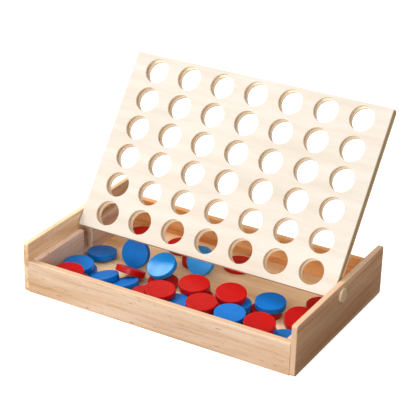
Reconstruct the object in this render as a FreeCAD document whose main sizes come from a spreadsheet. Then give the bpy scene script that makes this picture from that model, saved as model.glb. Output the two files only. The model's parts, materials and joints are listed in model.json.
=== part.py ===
import FreeCAD, Part
import math
import os
import Sketcher

Vector = FreeCAD.Vector

doc = FreeCAD.newDocument("four_in_a_row")

# ---------------------------------------------------------------------------
# Driving dimensions, in millimetres and degrees.
# The origin is the middle of the tray's underside: X to the right, Y to the rear, Z up.
# ---------------------------------------------------------------------------
SIZES = {
    "tray_width": 246.0,
    "tray_depth": 153.0,
    "side_height": 43.0,        # left and right walls
    "end_height": 27.6,         # front and rear walls, and the liners
    "side_thick": 4.8,
    "end_thick": 5.7,
    "edge_round": 0.8,          # softened long edges of the boards
    "corner_round": 2.0,        # corners of the side walls, seen from the side
    "floor_thick": 2.5,
    "liner_thick": 5.9,
    "notch_width": 12.6,
    "notch_floor": 6.2,         # height of the notch's bottom above the table
    "pivot_height": 33.5,
    "pivot_rise": 4.8,          # pivot above the grid's lower edge
    "lean": 36.8,               # the grid leans back this far from upright
    "grid_width": 235.0,
    "grid_tall": 155.5,
    "grid_thick": 9.0,
    "sheet_thick": 1.8,
    "sheet_corner": 1.5,
    "hole_across": 31.5,        # spacing of the holes along a row
    "hole_up": 25.4,            # spacing of the holes up a column
    "hole_diameter": 21.0,
    "hole_lowest": 15.2,        # centre of the bottom row above the grid's lower edge
    "column_width": 26.0,
    "rail_height": 2.4,
    "columns": 7,
    "rows": 6,
    "dowel_diameter": 12.0,
    "dowel_proud": 1.6,
    "dowel_round": 0.7,
    "tip_diameter": 3.6,
    "tip_reach": 5.0,           # past the wall's inner face
    "bore_clearance": 0.06,     # radial
    "bore_depth": 5.2,
    "disc_diameter": 25.0,
    "disc_thick": 5.0,
    "disc_round": 0.6,
    "disc_gap": 0.1,            # between a disc and what it lies on
}

sheet = doc.addObject("Spreadsheet::Sheet", "sizes")
for row, (alias, size) in enumerate(SIZES.items(), start=1):
    sheet.set("A%d" % row, alias)
    sheet.set("B%d" % row, str(size))
    sheet.setAlias("B%d" % row, alias)
doc.recompute()

pieces = []     # every sub-part that is written out, in order


def keep(piece, label):
    """Gives a finished sub-part its name and puts it on the list of files."""
    piece.Label = label
    pieces.append(piece)
    return piece


# ---------------------------------------------------------------------------
# Where a sub-part goes
# ---------------------------------------------------------------------------
def stand(piece, right, rear, up):
    """Places a piece of the tray; each place is an expression on the sheet."""
    piece.setExpression("Placement.Base.x", right)
    piece.setExpression("Placement.Base.y", rear)
    piece.setExpression("Placement.Base.z", up)


def hang(piece, right, rear, up):
    """Places a piece of the grid, given where it would be with the grid upright and the pivot at zero."""
    piece.setExpression("Placement.Base.x", right)
    piece.setExpression(
        "Placement.Base.y", "(%s) * cos(sizes.lean * 1 deg) + (%s) * sin(sizes.lean * 1 deg)" % (rear, up))
    piece.setExpression(
        "Placement.Base.z",
        "sizes.pivot_height - (%s) * sin(sizes.lean * 1 deg) + (%s) * cos(sizes.lean * 1 deg)" % (rear, up))
    piece.Placement.Rotation = FreeCAD.Rotation(Vector(1, 0, 0), -SIZES["lean"])
    piece.setExpression("Placement.Rotation.Axis.x", "1")
    piece.setExpression("Placement.Rotation.Axis.y", "0")
    piece.setExpression("Placement.Rotation.Axis.z", "0")
    piece.setExpression("Placement.Rotation.Angle", "-sizes.lean")


# ---------------------------------------------------------------------------
# Sketches
# ---------------------------------------------------------------------------
def origin_plane(body, role):
    return [item for item in body.Origin.OriginFeatures if item.Role == role][0]


def sketch_on(body, role):
    """An empty sketch on one of the body's own origin planes."""
    sketch = body.newObject("Sketcher::SketchObject", body.Name + "_sketch")
    sketch.AttachmentSupport = [(origin_plane(body, role), "")]
    sketch.MapMode = "FlatFace"
    return sketch


def driven(sketch, kind, geometry, expression):
    """Adds one dimension and drives it from the sheet."""
    index = sketch.addConstraint(Sketcher.Constraint(kind, *geometry))
    sketch.setExpression("Constraints[%d]" % index, expression)


def closed_outline(sketch, corners):
    """Straight sides through the corners, each side level or upright, starting at the sketch's origin."""
    count = len(corners)
    for index, start in enumerate(corners):
        end = corners[(index + 1) % count]
        sketch.addGeometry(Part.LineSegment(Vector(*start, 0), Vector(*end, 0)), False)
    for index, start in enumerate(corners):
        end = corners[(index + 1) % count]
        level = start[1] == end[1]
        sketch.addConstraint(Sketcher.Constraint("Horizontal" if level else "Vertical", index))
        sketch.addConstraint(Sketcher.Constraint("Coincident", index, 2, (index + 1) % count, 1))
    sketch.addConstraint(Sketcher.Constraint("Coincident", 0, 1, -1, 1))


def rectangle(sketch, across, along, across_size, along_size):
    """A rectangle from the sketch's origin; the sizes are numbers and the expressions that drive them."""
    closed_outline(sketch, [(0, 0), (across_size, 0), (across_size, along_size), (0, along_size)])
    driven(sketch, "DistanceX", (0, 1, 0, 2, across_size), across)
    driven(sketch, "DistanceY", (1, 1, 1, 2, along_size), along)


def circle(sketch, centre, radius, centre_expressions, radius_expression):
    """A circle placed from the sketch's origin."""
    index = sketch.addGeometry(Part.Circle(Vector(*centre, 0), Vector(0, 0, 1), radius), False)
    driven(sketch, "DistanceX", (-1, 1, index, 3, centre[0]), centre_expressions[0])
    driven(sketch, "DistanceY", (-1, 1, index, 3, centre[1]), centre_expressions[1])
    driven(sketch, "Radius", (index, radius), radius_expression)


def padded(body, sketch, length_expression):
    pad = body.newObject("PartDesign::Pad", body.Name + "_pad")
    pad.Profile = sketch
    pad.setExpression("Length", length_expression)
    sketch.Visibility = False
    return pad


def cut_through(body, sketch):
    """Cuts a sketch's outline right through, both ways from its plane."""
    pocket = body.newObject("PartDesign::Pocket", body.Name + "_pocket")
    pocket.Profile = sketch
    pocket.Type = "ThroughAll"
    pocket.Midplane = True
    sketch.Visibility = False
    return pocket


def edge_names(solid, chosen):
    return ["Edge%d" % number for number, edge in enumerate(solid.Edges, start=1) if chosen(edge)]


def runs_along(edge, direction):
    """True for a straight edge that is parallel to the direction."""
    if edge.Curve.TypeId != "Part::GeomLine":
        return False
    return edge.tangentAt(edge.FirstParameter).cross(direction).Length < 1e-6


def rounded(body, base, chosen, radius_expression):
    """Rounds the chosen edges of a body's latest feature."""
    doc.recompute()
    fillet = body.newObject("PartDesign::Fillet", body.Name + "_round")
    fillet.Base = (base, edge_names(base.Shape, chosen))
    fillet.setExpression("Radius", radius_expression)
    return fillet


# ---------------------------------------------------------------------------
# Tray
# ---------------------------------------------------------------------------
def side_wall(label, right):
    """A tall side board: its profile is seen along X, with a bored hole for the pivot dowel."""
    body = doc.addObject("PartDesign::Body", label)
    profile = sketch_on(body, "YZ_Plane")
    rectangle(profile, "sizes.tray_depth", "sizes.side_height", SIZES["tray_depth"], SIZES["side_height"])
    board = padded(body, profile, "sizes.side_thick")
    corners = rounded(body, board, lambda edge: runs_along(edge, Vector(1, 0, 0)), "sizes.corner_round")
    rounded(body, corners, lambda edge: runs_along(edge, Vector(0, 1, 0)), "sizes.edge_round")
    doc.recompute()
    bore = sketch_on(body, "YZ_Plane")
    circle(
        bore, (SIZES["tray_depth"] / 2, SIZES["pivot_height"]), SIZES["dowel_diameter"] / 2,
        ("sizes.tray_depth / 2", "sizes.pivot_height"), "sizes.dowel_diameter / 2")
    cut_through(body, bore)
    stand(body, right, "-sizes.tray_depth / 2", "0")
    return keep(body, label)


side_wall("left_wall", "-sizes.tray_width / 2")
side_wall("right_wall", "sizes.tray_width / 2 - sizes.side_thick")


def board(label, lengths, places, put, round_edges=None, radius="sizes.edge_round"):
    """A plain board: a box with the chosen edges softened."""
    name = label if round_edges is None else label + "_blank"
    blank = doc.addObject("Part::Box", name)
    for side, expression in zip(("Length", "Width", "Height"), lengths):
        blank.setExpression(side, expression)
    if round_edges is None:
        put(blank, *places)
        return keep(blank, label)
    doc.recompute()
    softened = doc.addObject("Part::Fillet", label)
    softened.Base = blank
    amount = SIZES[radius.split(".")[1]]
    softened.Edges = [
        (number, amount, amount)
        for number, edge in enumerate(blank.Shape.Edges, start=1) if round_edges(edge)]
    put(softened, *places)
    return keep(softened, label)


def is_upper_long_edge(edge):
    """The two long upper edges of a front or rear wall."""
    return runs_along(edge, Vector(1, 0, 0)) and edge.CenterOfMass.z > SIZES["end_height"] / 2


BETWEEN_SIDES = "sizes.tray_width - 2 * sizes.side_thick"
BETWEEN_ENDS = "sizes.tray_depth - 2 * sizes.end_thick"
INNER_LEFT = "-sizes.tray_width / 2 + sizes.side_thick"
INNER_FRONT = "-sizes.tray_depth / 2 + sizes.end_thick"

board(
    "front_wall", (BETWEEN_SIDES, "sizes.end_thick", "sizes.end_height"),
    (INNER_LEFT, "-sizes.tray_depth / 2", "0"), stand, is_upper_long_edge)
board(
    "rear_wall", (BETWEEN_SIDES, "sizes.end_thick", "sizes.end_height"),
    (INNER_LEFT, "sizes.tray_depth / 2 - sizes.end_thick", "0"), stand, is_upper_long_edge)
board(
    "floor_panel", (BETWEEN_SIDES, BETWEEN_ENDS, "sizes.floor_thick"),
    (INNER_LEFT, INNER_FRONT, "0"), stand)


def liner(label, right):
    """An inner side board that stands on the floor panel, with the notch at mid depth."""
    body = doc.addObject("PartDesign::Body", label)
    profile = sketch_on(body, "YZ_Plane")
    depth = SIZES["tray_depth"] - 2 * SIZES["end_thick"]
    top = SIZES["end_height"] - SIZES["floor_thick"]
    low = SIZES["notch_floor"] - SIZES["floor_thick"]
    arm = (depth - SIZES["notch_width"]) / 2
    closed_outline(profile, [
        (0, 0), (depth, 0), (depth, top), (depth - arm, top),
        (depth - arm, low), (arm, low), (arm, top), (0, top)])
    driven(profile, "DistanceX", (0, 1, 0, 2, depth), BETWEEN_ENDS)
    driven(profile, "DistanceY", (1, 1, 1, 2, top), "sizes.end_height - sizes.floor_thick")
    driven(profile, "DistanceX", (2, 2, 2, 1, arm), "(%s - sizes.notch_width) / 2" % BETWEEN_ENDS)
    driven(profile, "DistanceX", (4, 2, 4, 1, SIZES["notch_width"]), "sizes.notch_width")
    driven(profile, "DistanceY", (0, 1, 4, 1, low), "sizes.notch_floor - sizes.floor_thick")
    strip = padded(body, profile, "sizes.liner_thick")
    rounded(
        body, strip,
        lambda edge: runs_along(edge, Vector(0, 1, 0)) and edge.CenterOfMass.z > top - 0.1,
        "sizes.edge_round")
    stand(body, right, INNER_FRONT, "sizes.floor_thick")
    return keep(body, label)


liner("left_liner", INNER_LEFT)
liner("right_liner", "sizes.tray_width / 2 - sizes.side_thick - sizes.liner_thick")


def pivot_pin(label, right, turn):
    """
    A dowel turned in one piece: the thick end is glued in the side wall and stands a little proud
    of it, and the thin tip reaches into the grid's stile. Its axis is X, with zero at the wall's
    outer face and the tip towards +X before it is turned.
    """
    body = doc.addObject("PartDesign::Body", label)
    profile = sketch_on(body, "XY_Plane")
    proud = SIZES["dowel_proud"]
    inner = SIZES["side_thick"]
    tip_end = inner + SIZES["tip_reach"]
    thick = SIZES["dowel_diameter"] / 2
    thin = SIZES["tip_diameter"] / 2
    points = [(-proud, 0), (tip_end, 0), (tip_end, thin), (inner, thin), (inner, thick), (-proud, thick)]
    for index, start in enumerate(points):
        end = points[(index + 1) % len(points)]
        profile.addGeometry(Part.LineSegment(Vector(*start, 0), Vector(*end, 0)), False)
    for index, start in enumerate(points):
        end = points[(index + 1) % len(points)]
        level = start[1] == end[1]
        profile.addConstraint(Sketcher.Constraint("Horizontal" if level else "Vertical", index))
        profile.addConstraint(Sketcher.Constraint("Coincident", index, 2, (index + 1) % len(points), 1))
    profile.addConstraint(Sketcher.Constraint("PointOnObject", 0, 1, -1))
    driven(profile, "DistanceX", (0, 1, -1, 1, proud), "sizes.dowel_proud")
    driven(profile, "DistanceX", (-1, 1, 0, 2, tip_end), "sizes.side_thick + sizes.tip_reach")
    driven(profile, "DistanceX", (-1, 1, 4, 1, inner), "sizes.side_thick")
    driven(profile, "DistanceY", (-1, 1, 3, 1, thin), "sizes.tip_diameter / 2")
    driven(profile, "DistanceY", (-1, 1, 4, 2, thick), "sizes.dowel_diameter / 2")
    turned = body.newObject("PartDesign::Revolution", body.Name + "_turned")
    turned.Profile = profile
    turned.ReferenceAxis = (profile, ["H_Axis"])
    turned.Angle = 360
    profile.Visibility = False
    rounded(body, turned, lambda edge: abs(edge.CenterOfMass.x + proud) < 0.01, "sizes.dowel_round")
    body.Placement.Rotation = FreeCAD.Rotation(Vector(0, 0, 1), turn)
    stand(body, right, "0", "sizes.pivot_height")
    return keep(body, label)


pivot_pin("left_pivot_pin", "-sizes.tray_width / 2", 0)
pivot_pin("right_pivot_pin", "sizes.tray_width / 2", 180)


# ---------------------------------------------------------------------------
# Grid
# ---------------------------------------------------------------------------
def holed_sheet(label, rear):
    """A thin sheet with its rows and columns of round holes; its lower left corner is its zero."""
    body = doc.addObject("PartDesign::Body", label)
    profile = sketch_on(body, "XZ_Plane")
    rectangle(profile, "sizes.grid_width", "sizes.grid_tall", SIZES["grid_width"], SIZES["grid_tall"])
    blank = padded(body, profile, "sizes.sheet_thick")
    blank.Reversed = True
    doc.recompute()
    rounded(body, blank, lambda edge: runs_along(edge, Vector(0, 1, 0)), "sizes.sheet_corner")
    doc.recompute()
    first = sketch_on(body, "XZ_Plane")
    reach = (SIZES["columns"] - 1) * SIZES["hole_across"]
    circle(
        first, ((SIZES["grid_width"] - reach) / 2, SIZES["hole_lowest"]), SIZES["hole_diameter"] / 2,
        ("(sizes.grid_width - (sizes.columns - 1) * sizes.hole_across) / 2", "sizes.hole_lowest"),
        "sizes.hole_diameter / 2")
    hole = cut_through(body, first)
    doc.recompute()
    holes = body.newObject("PartDesign::LinearPattern", body.Name + "_holes")
    holes.Originals = [hole]
    holes.Direction = (first, ["H_Axis"])
    holes.setExpression("Length", "(sizes.columns - 1) * sizes.hole_across")
    holes.setExpression("Occurrences", "sizes.columns")
    holes.Direction2 = (first, ["V_Axis"])
    holes.setExpression("Length2", "(sizes.rows - 1) * sizes.hole_up")
    holes.setExpression("Occurrences2", "sizes.rows")
    body.Tip = holes
    hang(body, "-sizes.grid_width / 2", rear, "-sizes.pivot_rise")
    return keep(body, label)


holed_sheet("front_sheet", "-sizes.grid_thick / 2")
holed_sheet("rear_sheet", "sizes.grid_thick / 2 - sizes.sheet_thick")

GAP = "sizes.grid_thick - 2 * sizes.sheet_thick"
COLUMNS_WIDE = "((sizes.columns - 1) * sizes.hole_across + sizes.column_width)"
STILE_WIDE = "((sizes.grid_width - %s) / 2)" % COLUMNS_WIDE
BEHIND_FRONT_SHEET = "-sizes.grid_thick / 2 + sizes.sheet_thick"


def stile(label, right, outer_face):
    """An end spacer between the sheets, bored from its outer face for the pivot pin's tip."""
    blank = doc.addObject("Part::Box", label + "_blank")
    blank.setExpression("Length", STILE_WIDE)
    blank.setExpression("Width", GAP)
    blank.setExpression("Height", "sizes.grid_tall")
    bore = doc.addObject("Part::Cylinder", label + "_bore")
    bore.setExpression("Radius", "sizes.tip_diameter / 2 + sizes.bore_clearance")
    bore.setExpression("Height", "sizes.bore_depth")
    bore.Placement.Rotation = FreeCAD.Rotation(Vector(0, 1, 0), 90)
    bore.setExpression("Placement.Base.x", outer_face)
    bore.setExpression("Placement.Base.y", "(%s) / 2" % GAP)
    bore.setExpression("Placement.Base.z", "sizes.pivot_rise")
    bored = doc.addObject("Part::Cut", label)
    bored.Base = blank
    bored.Tool = bore
    hang(bored, right, BEHIND_FRONT_SHEET, "-sizes.pivot_rise")
    return keep(bored, label)


stile("left_stile", "-sizes.grid_width / 2", "0")
stile("right_stile", "sizes.grid_width / 2 - %s" % STILE_WIDE, "%s - sizes.bore_depth" % STILE_WIDE)

board(
    "bottom_rail", (COLUMNS_WIDE, GAP, "sizes.rail_height"),
    ("-%s / 2" % COLUMNS_WIDE, BEHIND_FRONT_SHEET, "-sizes.pivot_rise"), hang)
for number in range(1, int(SIZES["columns"])):
    board(
        "divider_%d" % number,
        ("sizes.hole_across - sizes.column_width", GAP, "sizes.grid_tall - sizes.rail_height"),
        ("-%s / 2 + %d * sizes.hole_across - (sizes.hole_across - sizes.column_width)" % (COLUMNS_WIDE, number),
         BEHIND_FRONT_SHEET, "-sizes.pivot_rise + sizes.rail_height"),
        hang)

# ---------------------------------------------------------------------------
# Playing discs, loose in the tray: 21 of each colour
# ---------------------------------------------------------------------------
# Each row: name, centre to the right and to the rear, how many discs it lies on, how far it is
# tipped, and the way its upper face then looks, in degrees from +X towards +Y.
DISCS = [
    ("blue_disc_1", -99, 1, 0, 5, 120),
    ("blue_disc_2", -98, -35, 1, 5, 300),
    ("blue_disc_3", -72, -37, 0, 15, 165),
    ("blue_disc_4", -66, 2, 0, 70, 270),
    ("blue_disc_5", -35, -7, 1, 30, 255),
    ("blue_disc_6", -14, 20, 0, 65, 265),
    ("blue_disc_7", 65, -6, 1, 5, 300),
    ("blue_disc_8", 96, -40, 0, 0, 0),
    ("blue_disc_9", 51, -47, 2, 5, 300),
    ("blue_disc_10", -52, -38, 0, 15, 165),
    ("blue_disc_11", 0, -45, 1, 0, 0),
    ("blue_disc_12", 42, -21, 1, 0, 0),
    ("red_disc_1", -92, -58, 2, 5, 300),
    ("red_disc_2", -30, -13, 0, 0, 0),
    ("red_disc_3", -14, -44, 2, 5, 300),
    ("red_disc_4", 4, -21, 2, 5, 300),
    ("red_disc_5", 37, -20, 2, 10, 300),
    ("red_disc_6", 24, -44, 2, 5, 300),
    ("red_disc_7", 78, -49, 2, 10, 300),
    ("red_disc_8", 95, -14, 0, 20, 300),
    ("red_disc_9", -26, 34, 0, 0, 0),
    ("red_disc_10", -50, 50, 0, 0, 0),
    ("red_disc_11", -90, 50, 0, 0, 0),
    ("red_disc_12", 7, 47, 0, 0, 0),
    ("red_disc_13", -26, -46, 1, 0, 0),
    ("red_disc_14", 63, -9, 0, 0, 0),
    ("red_disc_15", 97, 21, 0, 0, 0),
    ("red_disc_16", -57, -20, 0, 30, 85),
]

# The flat discs below those: each group's name, and its discs as centre to the right, to the rear,
# and how many discs it lies on.
LOWER_LAYERS = [
    ("red_discs_beneath_1", [(1, -15, 1), (38, -18, 0), (6, -19, 0)]),
    ("red_discs_beneath_2", [(56, -45, 0), (-86, -58, 1)]),
    ("blue_discs_beneath", [
        (4, -45, 0), (-22, -44, 0), (26, -44, 1), (30, -43, 0), (52, -47, 1),
        (78, -47, 1), (-97, -32, 0), (-86, -58, 0), (78, -58, 0)]),
]


def disc(name, right, rear, layers, tip, way):
    """
    A turned disc with softened rims. It stands on its lowest rim, so its height follows from the
    layers it lies on and from how far it is tipped.
    """
    blank = doc.addObject("Part::Cylinder", name + "_blank")
    blank.setExpression("Radius", "sizes.disc_diameter / 2")
    blank.setExpression("Height", "sizes.disc_thick")
    doc.recompute()
    piece = doc.addObject("Part::Fillet", name)
    piece.Base = blank
    amount = SIZES["disc_round"]
    piece.Edges = [
        (number, amount, amount)
        for number, edge in enumerate(blank.Shape.Edges, start=1) if edge.Closed]
    radius = SIZES["disc_diameter"] / 2
    half = SIZES["disc_thick"] / 2
    gap = SIZES["disc_gap"]
    slope = math.radians(tip)
    underside = SIZES["floor_thick"] + gap + layers * (2 * half + gap)
    up = underside + radius * math.sin(slope) + half * math.cos(slope)
    heading = math.radians(way)
    hinge = Vector(-math.sin(heading), math.cos(heading), 0)
    turn = FreeCAD.Placement(Vector(right, rear, up), FreeCAD.Rotation(hinge, tip))
    half_down = FreeCAD.Placement(Vector(0, 0, -half), FreeCAD.Rotation())
    piece.Placement = turn.multiply(half_down)
    return piece


for name, right, rear, layers, tip, way in DISCS:
    keep(disc(name, right, rear, layers, tip, way), name)

for name, places in LOWER_LAYERS:
    group = doc.addObject("Part::Compound", name)
    group.Links = [
        disc("%s_%d" % (name, number), right, rear, layers, 0, 0)
        for number, (right, rear, layers) in enumerate(places, start=1)]
    keep(group, name)

# ---------------------------------------------------------------------------
# Check and write
# ---------------------------------------------------------------------------
doc.recompute()
for item in doc.Objects:
    if "Invalid" in item.State or "Error" in item.State:
        raise RuntimeError("%s did not build: %s" % (item.Label, item.State))

os.makedirs("parts", exist_ok=True)
labels = [piece.Label for piece in pieces]
if len(set(labels)) != len(labels):
    raise RuntimeError("two sub-parts share a name")
for piece in pieces:
    shape = piece.Shape
    if shape.isNull() or not shape.isValid():
        raise RuntimeError("%s has no valid shape" % piece.Label)
    shape.exportStep(os.path.join("parts", piece.Label + ".step"))
    box = shape.BoundBox
    print("%-18s %8.1f mm3  x %7.1f %7.1f  y %7.1f %7.1f  z %6.1f %6.1f" % (
        piece.Label, shape.Volume, box.XMin, box.XMax, box.YMin, box.YMax, box.ZMin, box.ZMax))
print(len(pieces), "files")
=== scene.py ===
import json
import math

import bpy
from mathutils import Matrix, Vector


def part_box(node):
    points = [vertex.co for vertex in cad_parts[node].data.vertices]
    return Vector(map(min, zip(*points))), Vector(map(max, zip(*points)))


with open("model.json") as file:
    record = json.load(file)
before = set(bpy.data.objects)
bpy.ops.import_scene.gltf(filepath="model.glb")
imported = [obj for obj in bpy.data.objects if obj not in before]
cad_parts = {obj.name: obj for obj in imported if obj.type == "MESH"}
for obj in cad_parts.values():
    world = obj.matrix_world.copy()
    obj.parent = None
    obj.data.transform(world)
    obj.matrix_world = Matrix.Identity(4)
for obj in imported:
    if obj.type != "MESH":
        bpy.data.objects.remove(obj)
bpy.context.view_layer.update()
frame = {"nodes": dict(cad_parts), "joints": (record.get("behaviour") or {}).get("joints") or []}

MM = 0.001
nodes = frame["nodes"]
joints = {joint["name"]: joint for joint in frame["joints"]}
# The grid leans back from upright by what its hinge needs to bring it upright again.
LEAN = math.radians(-joints["grid_tilt"]["range_deg"][0])


# ---------------------------------------------------------------------------
# Helpers
# ---------------------------------------------------------------------------
def colour(code):
    """An sRGB hex value as linear red, green, blue and alpha."""
    channels = [int(code[start:start + 2], 16) / 255 for start in (1, 3, 5)]
    return [c / 12.92 if c <= 0.04045 else ((c + 0.055) / 1.055) ** 2.4 for c in channels] + [1.0]


def add(tree, kind, inputs=None, **settings):
    """Adds a node: settings are its own properties, and inputs are values, or sockets to link from."""
    made = tree.nodes.new(kind)
    for name, value in settings.items():
        setattr(made, name, value)
    for name, value in (inputs or {}).items():
        if isinstance(value, bpy.types.NodeSocket):
            tree.links.new(value, made.inputs[name])
        else:
            made.inputs[name].default_value = value
    return made


def start_material(name):
    """An empty node material; returns the material and its tree."""
    material = bpy.data.materials.new(name)
    material.use_nodes = True
    material.node_tree.nodes.clear()
    return material, material.node_tree


def dress(names, material):
    """Gives the CAD nodes their finish."""
    for name in names:
        mesh = nodes[name].data
        mesh.materials.clear()
        mesh.materials.append(material)


# Sockets of a Mix node that mixes colours, by number, as several of its sockets share a name.
MIX_FACTOR, MIX_FIRST, MIX_SECOND, MIX_RESULT = 0, 6, 7, 2
# The axis that a board's grain runs along.
ALONG_X, ALONG_Y, ALONG_Z = 0, 1, 2
# The way that a face looks.
FRONT, REAR, RIGHT = (0, -1, 0), (0, 1, 0), (1, 0, 0)


# ---------------------------------------------------------------------------
# Wood
# ---------------------------------------------------------------------------
def timber(name, pale, deep, pore, grain, place=(0, 0, 0), lean=0.0, growth_mm=4.0, growth=0.3,
           pores=0.6, fibres=1.0, roughness=0.62, cut=None, face=None, marks=()):
    """
    Sawn and sanded wood, unfinished. Pale wood drifts slowly to a deeper tone, growth lines wander
    along the board, and short pores follow the grain.
    grain is the axis it runs along, place shifts the figure so that no two boards match, and lean
    turns it with the grid. growth_mm is the gap between growth lines. growth, pores and fibres say
    how strongly each shows. cut is the colour of the sawn edges, and face the way that the one face
    with the wood's own colours looks, before the lean. marks are (centre, half sizes, strength).
    """
    material, tree = start_material(name)
    spot = add(tree, "ShaderNodeTexCoord")
    turned = add(tree, "ShaderNodeMapping", {
        "Vector": spot.outputs["Object"], "Rotation": (lean, 0, 0), "Location": place})

    def stretched(length_mm, width_mm):
        """The place on the board, scaled so that one unit is one streak long and one streak wide."""
        per_metre = [1 / (width_mm * MM)] * 3
        per_metre[grain] = 1 / (length_mm * MM)
        return add(tree, "ShaderNodeVectorMath", {
            0: turned.outputs["Vector"], 1: per_metre}, operation="MULTIPLY").outputs[0]

    # The slow drift of tone runs for a hand's breadth along the board.
    drift = add(tree, "ShaderNodeTexNoise", {
        "Vector": stretched(110, 13), "Scale": 1, "Detail": 3, "Roughness": 0.6})
    drifted = add(tree, "ShaderNodeMapRange", {
        "Value": drift.outputs["Fac"], "From Min": 0.34, "From Max": 0.68}, interpolation_type="SMOOTHSTEP")
    ground = add(tree, "ShaderNodeMix", {
        MIX_FACTOR: drifted.outputs["Result"], MIX_FIRST: colour(pale), MIX_SECOND: colour(deep)},
        data_type="RGBA")

    # Growth lines: soft dark bands a few millimetres apart, which wander and fade.
    lines = add(tree, "ShaderNodeTexNoise", {
        "Vector": stretched(95, growth_mm), "Scale": 1, "Detail": 1, "Roughness": 0.4, "Distortion": 0.35})
    lined = add(tree, "ShaderNodeMapRange", {
        "Value": lines.outputs["Fac"], "From Min": 0.52, "From Max": 0.66, "To Max": growth},
        interpolation_type="SMOOTHSTEP")
    banded = add(tree, "ShaderNodeMix", {
        MIX_FACTOR: lined.outputs["Result"], MIX_FIRST: ground.outputs[MIX_RESULT], MIX_SECOND: colour(deep)},
        data_type="RGBA", blend_type="MULTIPLY")

    # Fibres: real ones are 0.1 mm wide; drawn 0.8 mm wide so that they show.
    fibre = add(tree, "ShaderNodeTexNoise", {
        "Vector": stretched(24, 0.8), "Scale": 1, "Detail": 3, "Roughness": 0.65})
    fibred = add(tree, "ShaderNodeMapRange", {
        "Value": fibre.outputs["Fac"], "From Min": 0.3, "From Max": 0.7,
        "To Min": 1 - 0.1 * fibres, "To Max": 1 + 0.06 * fibres})
    streaked = add(tree, "ShaderNodeVectorMath", {
        0: banded.outputs[MIX_RESULT], "Scale": fibred.outputs["Result"]}, operation="SCALE")

    # Pores: short dark dashes, drawn about twice their real width.
    dash = add(tree, "ShaderNodeTexNoise", {
        "Vector": stretched(7, 0.7), "Scale": 1, "Detail": 1, "Roughness": 0.5})
    dashed = add(tree, "ShaderNodeMapRange", {
        "Value": dash.outputs["Fac"], "From Min": 0.66, "From Max": 0.76, "To Max": pores})
    pored = add(tree, "ShaderNodeMix", {
        MIX_FACTOR: dashed.outputs["Result"], MIX_FIRST: streaked.outputs[0], MIX_SECOND: colour(pore)},
        data_type="RGBA")
    tone = pored.outputs[MIX_RESULT]

    # Marks: each is a soft smear of the pores' colour at its own place on the board. Some are real
    # marks, such as knots and flecks, and some are painted shade.
    for centre, half_sizes, strength in marks:
        away = add(tree, "ShaderNodeVectorMath", {
            0: spot.outputs["Object"], 1: centre}, operation="SUBTRACT")
        scaled = add(tree, "ShaderNodeVectorMath", {
            0: away.outputs[0], 1: [1 / half for half in half_sizes]}, operation="MULTIPLY")
        far = add(tree, "ShaderNodeVectorMath", {0: scaled.outputs[0]}, operation="LENGTH")
        smear = add(tree, "ShaderNodeMapRange", {
            "Value": far.outputs["Value"], "From Min": 1.0, "From Max": 0.25, "To Max": strength},
            interpolation_type="SMOOTHSTEP")
        marked = add(tree, "ShaderNodeMix", {
            MIX_FACTOR: smear.outputs["Result"], MIX_FIRST: tone, MIX_SECOND: colour(pore)}, data_type="RGBA")
        tone = marked.outputs[MIX_RESULT]

    # The sawn edges have a tone of their own; on the grid's sheets it is partly painted light.
    if cut:
        facing = add(tree, "ShaderNodeMapping", {
            "Vector": spot.outputs["Normal"], "Rotation": (lean, 0, 0)}, vector_type="POINT")
        towards = add(tree, "ShaderNodeVectorMath", {
            0: facing.outputs["Vector"], 1: face}, operation="DOT_PRODUCT")
        sawn = add(tree, "ShaderNodeMapRange", {
            "Value": towards.outputs["Value"], "From Min": 0.75, "From Max": 0.45})
        edge = add(tree, "ShaderNodeVectorMath", {
            0: colour(cut)[:3], "Scale": fibred.outputs["Result"]}, operation="SCALE")
        edged = add(tree, "ShaderNodeMix", {
            MIX_FACTOR: sawn.outputs["Result"], MIX_FIRST: tone, MIX_SECOND: edge.outputs[0]},
            data_type="RGBA")
        tone = edged.outputs[MIX_RESULT]

    # Fibres stand up a little and pores sink in, as after a quick sanding.
    height = add(tree, "ShaderNodeMath", {0: fibre.outputs["Fac"], 1: dashed.outputs["Result"]},
                 operation="SUBTRACT")
    relief = add(tree, "ShaderNodeBump", {
        "Strength": 0.25, "Distance": 0.15 * MM, "Height": height.outputs[0]})
    dull = add(tree, "ShaderNodeMapRange", {
        "Value": drift.outputs["Fac"], "From Min": 0.3, "From Max": 0.7,
        "To Min": roughness - 0.06, "To Max": roughness + 0.08})
    shader = add(tree, "ShaderNodeBsdfPrincipled", {
        "Base Color": tone, "Roughness": dull.outputs["Result"], "IOR": 1.5, "Specular IOR Level": 0.4,
        "Normal": relief.outputs["Normal"]})
    add(tree, "ShaderNodeOutputMaterial", {"Surface": shader.outputs["BSDF"]})
    return material


# Rubberwood: the pale tan board timber of the tray, straight grained, with short brown pores. Its
# boards differ in tone from nearly white to a warm brown, which is partly the wood's own variation and
# partly painted light: the rear wall's orange stands in for warm shade on its inner face, the right
# wall's browner tone for the shade on its outer face, and the left wall's paler tone offsets the
# shade on its inner face.
left_low, left_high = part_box("left_wall")
right_low, right_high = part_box("right_wall")
front_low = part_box("front_wall")[0]

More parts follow.
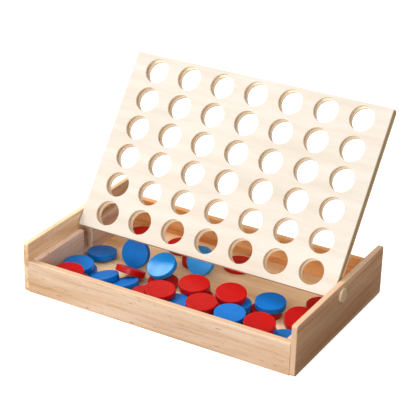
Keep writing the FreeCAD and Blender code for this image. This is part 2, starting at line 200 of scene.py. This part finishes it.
# A soft dark patch on the inner face of each side wall, which deepens the shade in the liner's notch.
NOTCH_HEIGHT = 16.5 * MM
NOTCH_PATCH = ((2.5 * MM, 9 * MM, 15 * MM), 0.7)
left_marks = [
    # A small knot in the front end.
    ((left_low[0] + 3.5 * MM, left_low[1], 25 * MM), (3.5 * MM, 3 * MM, 4 * MM), 0.4),
    ((left_high[0], 0, NOTCH_HEIGHT), *NOTCH_PATCH)]
right_marks = [
    ((right_low[0], 0, NOTCH_HEIGHT), *NOTCH_PATCH),
    # Darker low down on the outside: painted shade on the wall's shaded outer face.
    ((right_high[0], -10 * MM, 4 * MM), (5 * MM, 150 * MM, 46 * MM), 0.5),
    # A dark wedge of grain at the foot of the front end.
    ((right_high[0] - 4 * MM, right_low[1], 9 * MM), (1.3 * MM, 3 * MM, 7 * MM), 0.55)]
# The front wall's outer face is a shade browner along its foot, towards the right.
front_marks = [((60 * MM, front_low[1], 4 * MM), (130 * MM, 6 * MM, 32 * MM), 0.16)]

# The upper edges and ends of these two are browner than their outer face.
SAWN_EDGES = {
    "front_wall": {"cut": "#CBA684", "face": FRONT},
    "right_wall": {"cut": "#D2AE8C", "face": RIGHT}}

for board, pale, deep, grain, place, marks in (
        ("front_wall", "#E0C2A6", "#D2AB86", ALONG_X, (0.31, 0.02, 0.11), front_marks),
        ("rear_wall", "#F2B97C", "#DB9450", ALONG_X, (1.7, 0.4, 0.3), []),
        ("left_wall", "#ECCDA6", "#D4A97A", ALONG_Y, (0.6, 0.9, 0.2), left_marks),
        ("right_wall", "#E8BE96", "#D2A078", ALONG_Y, (0.15, 2.1, 0.7), right_marks),
        ("left_liner", "#E6C9B0", "#D0AF97", ALONG_Y, (0.4, 0.5, 0.1), []),
        ("right_liner", "#E6C9B0", "#D0AF97", ALONG_Y, (0.9, 0.3, 0.5), [])):
    wood = timber(
        "rubberwood_" + board, pale, deep, "#8A4E28", grain, place, marks=marks, **SAWN_EDGES.get(board, {}))
    dress([board], wood)

# Plywood floor: a broad, even tan face veneer.
dress(["floor_panel"], timber(
    "plywood_floor", "#F3D0A6", "#E4B988", "#9A7040", ALONG_X, growth_mm=11, growth=0.3, pores=0.3))

# Basswood plywood: the two sheets of the grid, very pale and close grained. Their sawn edges and the
# rims of their holes are warmer than the faces, and lighter: the lightness is painted light, standing in
# for light that comes in through the holes.
BASSWOOD = {"pore": "#B59A74", "grain": ALONG_X, "lean": LEAN, "growth_mm": 9, "growth": 0.07,
            "pores": 0.12, "fibres": 0.4, "roughness": 0.55, "cut": "#FAE8CB"}
# The front one has two small pin flecks near its ends, and is a little browner at the foot.
flecks = [((x * MM, 15.7 * MM, 64.8 * MM), (1.6 * MM, 1.3 * MM, 1.6 * MM), 0.8) for x in (-108, 112)]
browner_foot = [((0, 0, 24 * MM), (150 * MM, 24 * MM, 36 * MM), 0.2)]
dress(["front_sheet"], timber(
    "basswood_front_sheet", "#CEC6BA", "#C8BCAD", face=FRONT, marks=flecks + browner_foot, **BASSWOOD))
# The rear one is lighter and yellower; its lightness is painted light, which offsets the shade on its back.
dress(["rear_sheet"], timber(
    "basswood_rear_sheet", "#F0E4D0", "#E6D6BC", place=(0.5, 0, 0.8), face=REAR, **BASSWOOD))

# Poplar core: the spacers between the sheets.
core = ["left_stile", "right_stile", "bottom_rail"]
core += [name for name in nodes if name.startswith("divider")]
dress(core, timber("poplar_core", "#D8B483", "#C59B68", "#7B5A34", ALONG_Z, lean=LEAN, growth_mm=3))

# Beech dowel: the pivot pins; their ends show small round pores of end grain.
dress(["left_pivot_pin", "right_pivot_pin"], timber(
    "beech_dowel", "#E6CAA6", "#DABA90", "#9C7548", ALONG_X, growth_mm=2.5, growth=0.35))


# ---------------------------------------------------------------------------
# Painted discs
# ---------------------------------------------------------------------------
def lacquer(name, fresh, thin):
    """
    Satin water-based paint, sprayed on turned wooden discs: an even opaque colour, slightly mottled
    where the coat is thin, with a faint orange-peel surface.
    """
    material, tree = start_material(name)
    spot = add(tree, "ShaderNodeTexCoord")
    coat = add(tree, "ShaderNodeTexNoise", {
        "Vector": spot.outputs["Object"], "Scale": 1 / (9 * MM), "Detail": 3, "Roughness": 0.55})
    coated = add(tree, "ShaderNodeMapRange", {
        "Value": coat.outputs["Fac"], "From Min": 0.35, "From Max": 0.72}, interpolation_type="SMOOTHSTEP")
    tone = add(tree, "ShaderNodeMix", {
        MIX_FACTOR: coated.outputs["Result"], MIX_FIRST: colour(fresh), MIX_SECOND: colour(thin)},
        data_type="RGBA")
    # The orange peel is really 0.3 mm across; drawn 0.9 mm so that it breaks up the shine.
    peel = add(tree, "ShaderNodeTexNoise", {
        "Vector": spot.outputs["Object"], "Scale": 1 / (0.9 * MM), "Detail": 2})
    relief = add(tree, "ShaderNodeBump", {
        "Strength": 0.12, "Distance": 0.08 * MM, "Height": peel.outputs["Fac"]})
    shine = add(tree, "ShaderNodeMapRange", {
        "Value": coat.outputs["Fac"], "From Min": 0.3, "From Max": 0.7, "To Min": 0.28, "To Max": 0.38})
    shader = add(tree, "ShaderNodeBsdfPrincipled", {
        "Base Color": tone.outputs[MIX_RESULT], "Roughness": shine.outputs["Result"], "IOR": 1.45,
        "Specular IOR Level": 0.3, "Normal": relief.outputs["Normal"]})
    add(tree, "ShaderNodeOutputMaterial", {"Surface": shader.outputs["BSDF"]})
    return material


red_discs = [name for name in nodes if name.startswith("red_disc")]
blue_discs = [name for name in nodes if name.startswith("blue_disc")]
dress(red_discs, lacquer("red_lacquer", "#B60503", "#AC0403"))
dress(blue_discs, lacquer("blue_lacquer", "#026CBE", "#0266B4"))
# Two of the leaning blue discs have lighter paints, which stand in for their shine.
dress(["blue_disc_5"], lacquer("blue_lacquer_light", "#0F86D2", "#0A7CC8"))
dress(["blue_disc_6"], lacquer("blue_lacquer_lightest", "#3C9CE6", "#3292DE"))


# ---------------------------------------------------------------------------
# Floor, lights and camera
# ---------------------------------------------------------------------------
# A sheet of white paper that reaches 6 m to each side.
floor_mesh = bpy.data.meshes.new("floor")
reach = 6.0
floor_mesh.from_pydata(
    [(-reach, -reach, 0), (reach, -reach, 0), (reach, reach, 0), (-reach, reach, 0)], [], [(0, 1, 2, 3)])
floor = bpy.data.objects.new("floor", floor_mesh)
bpy.context.scene.collection.objects.link(floor)
# It is hidden from bounced and mirrored light, so that shaded sides stay deep, and it glows a little,
# so that shadows on it stay pale.
floor.visible_diffuse = False
floor.visible_glossy = False
paper, tree = start_material("white_paper")
tooth = add(tree, "ShaderNodeTexNoise", {"Scale": 1 / (2 * MM), "Detail": 2})
relief = add(tree, "ShaderNodeBump", {
    "Strength": 0.05, "Distance": 0.05 * MM, "Height": tooth.outputs["Fac"]})
shader = add(tree, "ShaderNodeBsdfPrincipled", {
    "Base Color": colour("#F6F5F3"), "Roughness": 0.8, "Normal": relief.outputs["Normal"],
    "Emission Color": colour("#FFFFFF"), "Emission Strength": 0.5})
add(tree, "ShaderNodeOutputMaterial", {"Surface": shader.outputs["BSDF"]})
floor_mesh.materials.append(paper)

world = bpy.data.worlds.new("studio")
bpy.context.scene.world = world
world.use_nodes = True
# The room is bright in front on the left, and dim behind on the right and below, so that the right
# side of the tray falls darker.
room = world.node_tree
direction = add(room, "ShaderNodeTexCoord")
leftwards = add(room, "ShaderNodeVectorMath", {
    0: direction.outputs["Generated"], 1: (-0.7, -0.6, 0.4)}, operation="DOT_PRODUCT")
fall = add(room, "ShaderNodeMapRange", {
    "Value": leftwards.outputs["Value"], "From Min": -0.7, "From Max": 0.9, "To Min": 0.62, "To Max": 1.3},
    interpolation_type="SMOOTHSTEP")
upwards = add(room, "ShaderNodeSeparateXYZ", {"Vector": direction.outputs["Generated"]})
below = add(room, "ShaderNodeMapRange", {
    "Value": upwards.outputs["Z"], "From Min": -0.15, "From Max": 0.05, "To Min": 0.3, "To Max": 1.0})
strength = add(room, "ShaderNodeMath", {0: fall.outputs["Result"], 1: below.outputs["Result"]},
               operation="MULTIPLY")
room.links.new(strength.outputs[0], room.nodes["Background"].inputs["Strength"])
room.nodes["Background"].inputs["Color"].default_value = colour("#FFFFFF")
world.cycles_visibility.glossy = False

# One broad key light from the front left, far off, so that the floor is lit evenly.
key = bpy.data.lights.new("key", "SUN")
key.energy = 0.5
key.angle = math.radians(55)
lamp = bpy.data.objects.new("key", key)
lamp.rotation_mode = "QUATERNION"
lamp.rotation_quaternion = Vector((0.58, 0.68, -0.45)).to_track_quat("-Z", "Y")
bpy.context.scene.collection.objects.link(lamp)

# Two softboxes: one high on the left, which puts a sheen on the discs that lean towards it, and one
# low in front, which reaches in under the grid.
SOFTBOX_SIZE = 0.5
for name, place, power in (("high", (-0.98, 0.06, 1.2), 12), ("low", (0.2, -1.28, 0.46), 7)):
    light = bpy.data.lights.new(name, "AREA")
    light.energy = power
    light.size = SOFTBOX_SIZE
    box = bpy.data.objects.new(name, light)
    box.location = place
    box.rotation_mode = "QUATERNION"
    box.rotation_quaternion = (-box.location).to_track_quat("-Z", "Y")
    bpy.context.scene.collection.objects.link(box)

# The camera stands to the front right, a little over a metre away, and looks down on the tray.
lens_data = bpy.data.cameras.new("camera")
lens_data.sensor_width = 36
lens_data.lens = 126.7
lens_data.shift_x = 0.0405
lens_data.shift_y = 0.0055
lens_data.clip_start, lens_data.clip_end = 0.05, 30
camera = bpy.data.objects.new("camera", lens_data)
bpy.context.scene.collection.objects.link(camera)
# It is turned to the left, dipped and rolled by these, in radians.
turn, dip, roll = 0.5259, 0.4545, -0.0215
forward = Vector((-math.sin(turn) * math.cos(dip), math.cos(turn) * math.cos(dip), -math.sin(dip)))
level = Vector((math.cos(turn), math.sin(turn), 0))
down = forward.cross(level)
right = level * math.cos(roll) + down * math.sin(roll)
up = right.cross(forward)
facing = Matrix((right, up, -forward)).transposed().to_4x4()
camera.matrix_world = Matrix.Translation((0.5206, -0.9157, 0.5859)) @ facing
bpy.context.scene.camera = camera

bpy.context.scene.view_settings.view_transform = "Standard"
